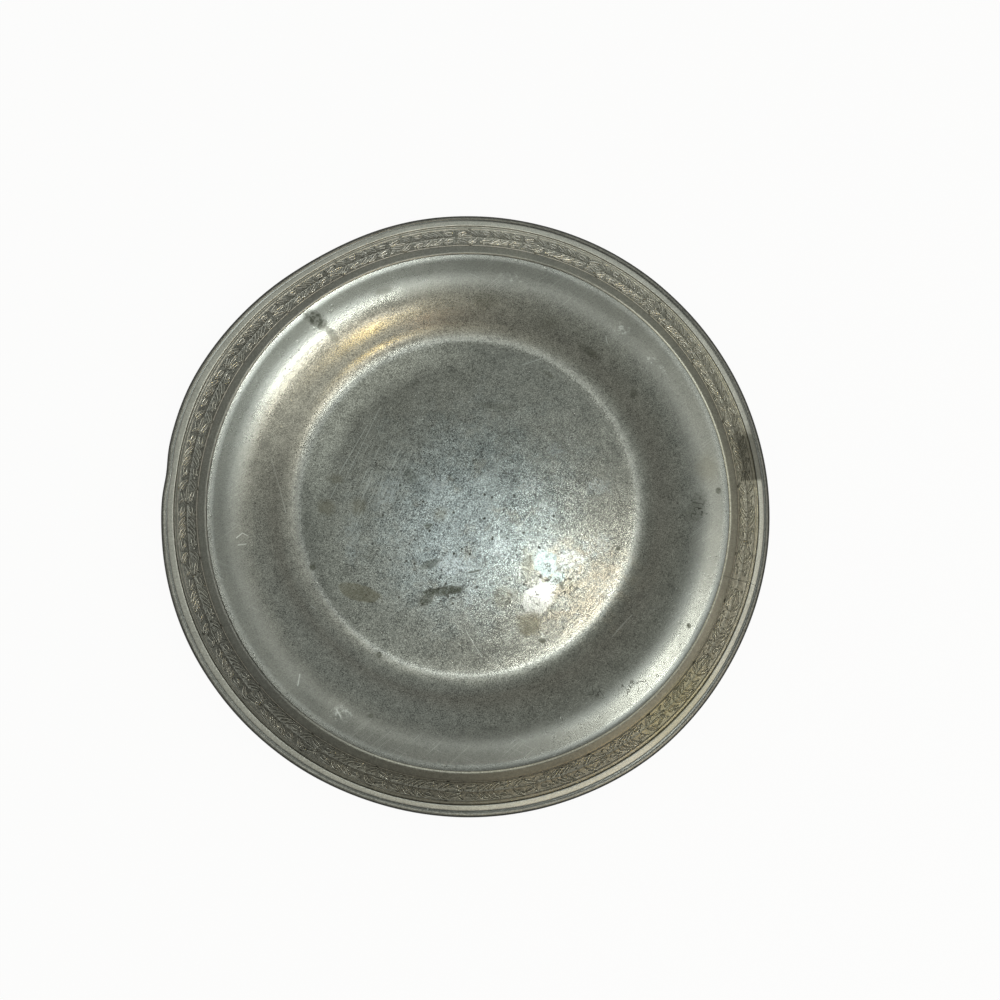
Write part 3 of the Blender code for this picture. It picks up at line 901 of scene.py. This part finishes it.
# %% [markdown]
# ## Border pewter
#
# The hollows of the border hold a patina, and its raised lines and leaf edges are rubbed
# bright. The right-hand side is browner. At each mark of the roll the lines break for a moment,
# and the azimuth places the dark stain.
#
# To come near the photograph's light and dark, the colour here changes with the side as well:
# up to 40 % lighter on the far side and darker on the near side, 11 % on the moulding, and up to
# 20 % lighter on the right and darker on the left, but for the moulding and the plain band. The
# corner of the strip is bright on the lower right alone.


# %% Border pewter
MOULDING_METAL = (0.425, 0.425, 0.395)
CREASE_DIRT = (0.065, 0.064, 0.056)
ROLL_MARK_DIRT = (0.07, 0.068, 0.06)
OLIVE_PATINA = (0.22, 0.205, 0.12)
BORDER_STAIN = (0.062, 0.060, 0.050)


def border(material, leaf):
    """The darker pewter of the strip, or of the leaves on it."""
    metal = Pewter(material)
    grain = metal.noise(0.3, 2, 0.7)
    fleck = metal.noise(0.9, 4, 0.75, 1.0)
    clouds = metal.noise(14.0, 3, 0.6, 4.0)
    azimuth = metal.place.math("ARCTAN2", metal.y, metal.x) * (180 / math.pi)
    from_joint = metal.place.math("FLOORED_MODULO", azimuth - JOINT, 360.0)
    # Painted light and shade: up to 40 % lighter on the far side and darker on the near side.
    far_light = 1.0 + metal.side(104) * 0.40
    brown = metal.step(metal.side(-25) + (clouds - 0.5) * 1.6, -0.9, 1.0)
    stain = metal.step(from_joint + metal.ragged, 20.5, 21.2)
    stain = stain * metal.step(from_joint + metal.ragged * 6, 33.5, 30.0)
    stain = stain * metal.step(metal.radius + metal.ragged * 6, 113.0, 116.5)
    olive = metal.step(from_joint + metal.ragged * 8, 319, 328)
    olive = olive * metal.step(from_joint + metal.ragged * 8, 345, 335)

    along = from_joint * (math.radians(1) * STEM)
    out = metal.place.math("ABSOLUTE", metal.radius - STEM)
    outer_half = metal.step(metal.radius, STEM, STEM + 0.01)
    lace = metal.noise(0.5, 2, 0.6, 3.0, place=metal.place.vector(
        (along * 0.86 - out * 0.5) * 0.40, (along * 0.5 + out * 0.86) * 0.70, outer_half * 9))
    lace = metal.step(metal.place.math("ABSOLUTE", lace - 0.5), 0.060, 0.015)

    # Painted light and shade: up to 20 % lighter on the right and darker on the left.
    east = 1.0 + metal.side(-8) * 0.20

    def tinted(level):
        """A grey of the given level, browner on the brown side."""
        grey = (level, level * 0.985, level * 0.90)
        return metal.blend(grey, (level, level * 0.955, level * 0.80), brown)

    if leaf:
        raised = metal.read("crest") * metal.step(metal.z + (grain - 0.5) * 0.3, BAND_Z, BAND_Z + 0.24)
        hollow = metal.blend(tinted(0.114), tinted(0.176), lace)
        tint = metal.scaled(metal.blend(hollow, tinted(1.0), raised), east)
        rough = 0.36 - raised * 0.06
    else:
        lines = metal.step(metal.z + (grain - 0.5) * 0.12, BAND_Z, BAND_Z + 0.09)
        in_band = metal.step(metal.radius, LEAF_BAND[0], LEAF_BAND[0] + 0.2)
        in_band = in_band * metal.step(metal.radius, LEAF_BAND[1], LEAF_BAND[1] - 0.2)
        moulding = metal.step(metal.radius, OVOLO[0] - 0.1, OVOLO[0] + 0.3)
        # Painted highlight: the inner corner of the strip is near white on the lower right alone.
        corner = metal.step(metal.radius, STRIP_INNER + 0.75, STRIP_INNER + 0.35)
        corner = corner * metal.step(metal.side(-35), -0.3, 0.5)
        ground = metal.scaled(metal.blend(tinted(0.150), tinted(0.240), lace), east)
        tint = metal.blend(tinted(0.160), ground, in_band)
        outside = metal.step(metal.radius, LEAF_BAND[1] - 0.1, LEAF_BAND[1] + 0.1)
        tint = metal.blend(tint, metal.scaled(tinted(0.250), east), outside)
        tint = metal.blend(tint, metal.scaled(tinted(0.78), east), lines * (1.0 - in_band))
        tint = metal.blend(metal.blend(tint, MOULDING_METAL, moulding), tinted(0.95), corner)
        from_creases = [metal.place.math("ABSOLUTE", metal.radius - (at + 0.02)) for at in OVOLO]
        creases = metal.most([metal.step(away, 0.34, 0.12, 0.8) for away in from_creases])
        tint = metal.blend(tint, CREASE_DIRT, creases)
        # Less of the painted light and shade on the moulding.
        far_light = far_light - moulding * metal.side(104) * 0.29
        share = metal.place.math("FRACT", (from_joint - FIRST_MARK) / PITCH + 1.0)
        from_mark = (0.5 - metal.place.math("ABSOLUTE", share - 0.5)) * (math.radians(PITCH) * STEM)
        for line, blob in ((LEAF_BAND[0] - 0.2, 0.6), (LEAF_BAND[1] + 0.2, -0.55)):
            from_line = metal.place.math("ABSOLUTE", metal.radius - line)
            from_blob = metal.place.math("ABSOLUTE", metal.radius - (line + blob))
            at_line = metal.step(from_mark, 0.9, 0.4) * metal.step(from_line, 0.3, 0.12)
            at_blob = metal.step(from_mark, 0.9, 0.4) * metal.step(from_blob, 0.3, 0.12)
            tint = metal.blend(tint, ROLL_MARK_DIRT, at_line * 0.8)
            tint = metal.blend(tint, tinted(0.45), at_blob)
        rough = 0.34 + in_band * 0.04 + moulding * 0.12 - corner * 0.08
    speckle = 1.0 + (grain - 0.5) * 1.2 + (fleck - 0.5) * 0.6 + (clouds - 0.5) * 0.5
    tint = metal.scaled(tint, speckle * far_light)
    tint = metal.blend(tint, OLIVE_PATINA, olive * metal.step(metal.radius, 111, 114) * 0.35)
    tint = metal.blend(tint, BORDER_STAIN, stain * 0.66)
    metal.finish(tint, rough + (fleck - 0.5) * 0.12 + stain * 0.1, grain * 0.5 + fleck * 0.5, 0.008)


strip_pewter = bpy.data.materials.new("strip_pewter")
border(strip_pewter, False)
border(leaf_pewter, True)
strip.data.materials.append(strip_pewter)

# %% [markdown]
# ## Wire pewter
#
# The wire has painted shade where it turns over and under. Its inner flank has a painted highlight on the
# left and painted shade on the right, and its crown has painted light at the lower left.

# %% Wire pewter
WIRE_METAL = (0.150, 0.148, 0.137)
PAINTED_LIGHT_WIRE = (0.235, 0.234, 0.217)
PAINTED_SHADE_OUTER_WIRE = (0.040, 0.041, 0.037)
PAINTED_SHADE_FLANK = (0.11, 0.11, 0.10)
PAINTED_HIGHLIGHT_FLANK = (0.44, 0.44, 0.41)
PAINTED_SHADE_UNDER_WIRE = (0.035, 0.035, 0.031)
wire_pewter = bpy.data.materials.new("wire_pewter_worn")
metal = Pewter(wire_pewter)
grain = metal.noise(0.4, 2, 0.7)
clouds = metal.noise(9.0, 4, 0.6, 4.0)
# Painted shade on the outer side and underneath, painted light on the crown at the lower left, and a painted
# highlight on the inner flank on the left with painted shade on the right.
dark = metal.step(metal.radius + (clouds - 0.5) * 0.8, WIRE_CENTRE - 0.05, WIRE_CENTRE + 0.6)
tint = metal.blend(WIRE_METAL, PAINTED_LIGHT_WIRE, metal.step(metal.side(235), -0.2, 0.9))
tint = metal.blend(tint, PAINTED_SHADE_OUTER_WIRE, dark)
flank = metal.blend(PAINTED_SHADE_FLANK, PAINTED_HIGHLIGHT_FLANK, metal.step(metal.side(200), -0.2, 0.9))
tint = metal.blend(tint, flank, metal.step(metal.radius, WIRE_CENTRE - 0.7, WIRE_CENTRE - 1.0))
tint = metal.blend(tint, PAINTED_SHADE_UNDER_WIRE, metal.step(metal.z, FLANGE_Z + 0.5, FLANGE_Z))
tint = metal.scaled(tint, 1.0 + (grain - 0.5) * 1.4 + (clouds - 0.5) * 1.0)
metal.finish(tint, 0.36 + clouds * 0.12, grain + clouds * 2.0, 0.008)
wire.data.materials.append(wire_pewter)

# %% [markdown]
# ## Lights
#
# A small key lamp hangs nearly overhead with a second one beside it, and wider lamps fill in
# from above and from the right. Two small warm lamps make the glow on the upper left wall,
# together with the lighter colour there.
# The world is a plain soft grey, a little lighter and cooler above.


# %% Lights
LAMP_DISTANCE = 1.5
LEVEL = 1.6


def lamp(name, azimuth, tilt, radius, power, tint, stretch=1.0):
    """A round or tall area lamp aimed at the bowl, by its azimuth and its tilt from the zenith."""
    light = bpy.data.lights.new(name, "AREA")
    light.shape = "ELLIPSE"
    light.size = 2 * radius
    light.size_y = light.size * stretch
    light.energy = power * LEVEL
    light.color = tint
    made = bpy.data.objects.new(name, light)
    bpy.context.scene.collection.objects.link(made)
    azimuth, tilt = math.radians(azimuth), math.radians(tilt)
    away = Vector((math.sin(tilt) * math.cos(azimuth), math.sin(tilt) * math.sin(azimuth), math.cos(tilt)))
    made.location = away * LAMP_DISTANCE
    made.rotation_euler = (-away).to_track_quat("-Z", "Y").to_euler()


lamp("key", 15, 7.7, 0.046, 0.56, (0.95, 0.99, 0.94))
lamp("beside_key", -10, 16, 0.066, 0.62, (1.0, 0.95, 0.83))
lamp("lower_right", -51, 23, 0.146, 0.42, (1.0, 0.95, 0.86))
lamp("overhead_wide", 171, 11, 0.273, 0.10, (0.80, 0.98, 1.0))
lamp("overhead", 98, 4.5, 0.11, 0.255, (0.90, 0.97, 1.0))
lamp("soft_side", -35, 40, 0.61, 2.15, (1.0, 0.98, 0.87))
lamp("cool_side", 60, 36.5, 0.60, 0.36, (0.70, 0.90, 1.0))
lamp("warm_yellow", -49, 29, 0.032, 0.57, (1.0, 0.70, 0.21), stretch=3.5)
lamp("warm_pink", -74, 37, 0.035, 0.15, (1.0, 0.66, 0.40), stretch=3.0)

LOW_SKY = (0.440, 0.415, 0.370, 1.0)
HIGH_SKY = (0.490, 0.515, 0.465, 1.0)
world = bpy.data.worlds.new("studio")
bpy.context.scene.world = world
world.use_nodes = True
sky = world.node_tree
direction = Field(sky, sky.nodes.new("ShaderNodeTexCoord").outputs["Generated"])
height = direction.node("ShaderNodeSeparateXYZ", {}, {0: direction}, output=2)
shade = direction.node("ShaderNodeMix", {"data_type": "RGBA", "clamp_factor": True}, {
    0: height, 6: LOW_SKY, 7: HIGH_SKY}, output=2)
sky.links.new(shade.socket, sky.nodes["Background"].inputs["Color"])

# %% [markdown]
# ## Floor
#
# The floor is white to the camera and in reflections, and keeps a faint shadow of the bowl.

# %% Floor
REACH = 8
floor_mesh = bpy.data.meshes.new("floor")
corners = [(-REACH, -REACH, 0), (REACH, -REACH, 0), (REACH, REACH, 0), (-REACH, REACH, 0)]
floor_mesh.from_pydata(corners, [], [(0, 1, 2, 3)])
floor = bpy.data.objects.new("floor", floor_mesh)
bpy.context.scene.collection.objects.link(floor)
floor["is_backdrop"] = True
floor_white = bpy.data.materials.new("floor_white")
floor_white.use_nodes = True
tree = floor_white.node_tree
card = tree.nodes["Principled BSDF"]
card.inputs["Base Color"].default_value = (0.86, 0.86, 0.85, 1.0)
card.inputs["Roughness"].default_value = 0.9
path = tree.nodes.new("ShaderNodeLightPath")
seen = Field(tree, path.outputs["Is Camera Ray"]) + Field(tree, path.outputs["Is Glossy Ray"])
seen = seen + Field(tree, path.outputs["Is Transmission Ray"])
glow = seen.node("ShaderNodeEmission", {}, {"Strength": 1.0})
mixed = seen.node("ShaderNodeMixShader", {}, {0: seen * 0.93, 1: Field(tree, card.outputs[0]), 2: glow})
tree.links.new(mixed.socket, tree.nodes["Material Output"].inputs["Surface"])
floor_mesh.materials.append(floor_white)

# %% [markdown]
# ## Camera
#
# The camera was fitted to the photograph's outline and rings: a little below the middle of the
# picture, 0.31 m above the rim, looking almost straight down.

# %% Camera
FOCAL_LENGTH = 27.036
LOOKING = Vector((0.0451, 0.1445, -0.9885))
PICTURE_UP = Vector((0.0, 0.9895, 0.1447))
CAMERA_PLACE = Vector((-0.00208, -0.04561, BAND_Z * MM + 0.31007))
camera = bpy.data.objects.new("camera", bpy.data.cameras.new("camera"))
bpy.context.scene.collection.objects.link(camera)
camera.data.sensor_width = 36.0
camera.data.lens = FOCAL_LENGTH
camera.data.clip_start = 0.01
back = -LOOKING.normalized()
right = PICTURE_UP.cross(back).normalized()
turn = Matrix((right, back.cross(right), back)).transposed().to_4x4()
camera.matrix_world = Matrix.Translation(CAMERA_PLACE) @ turn
bpy.context.scene.camera = camera
bpy.context.scene.view_settings.view_transform = "Standard"

# %% [markdown]
# ## Finish
#
# Both boxes, the CAD's and the visual model's, are kept, and the visual box is printed.
# The visual model has to stay inside the CAD box.

# %% Finish
bpy.context.view_layer.update()
visual_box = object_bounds()
sizes = {"cad": [list(corner) for corner in cad_box], "visual": [list(corner) for corner in visual_box]}
print("visual box", [[round(v, 5) for v in corner] for corner in visual_box])
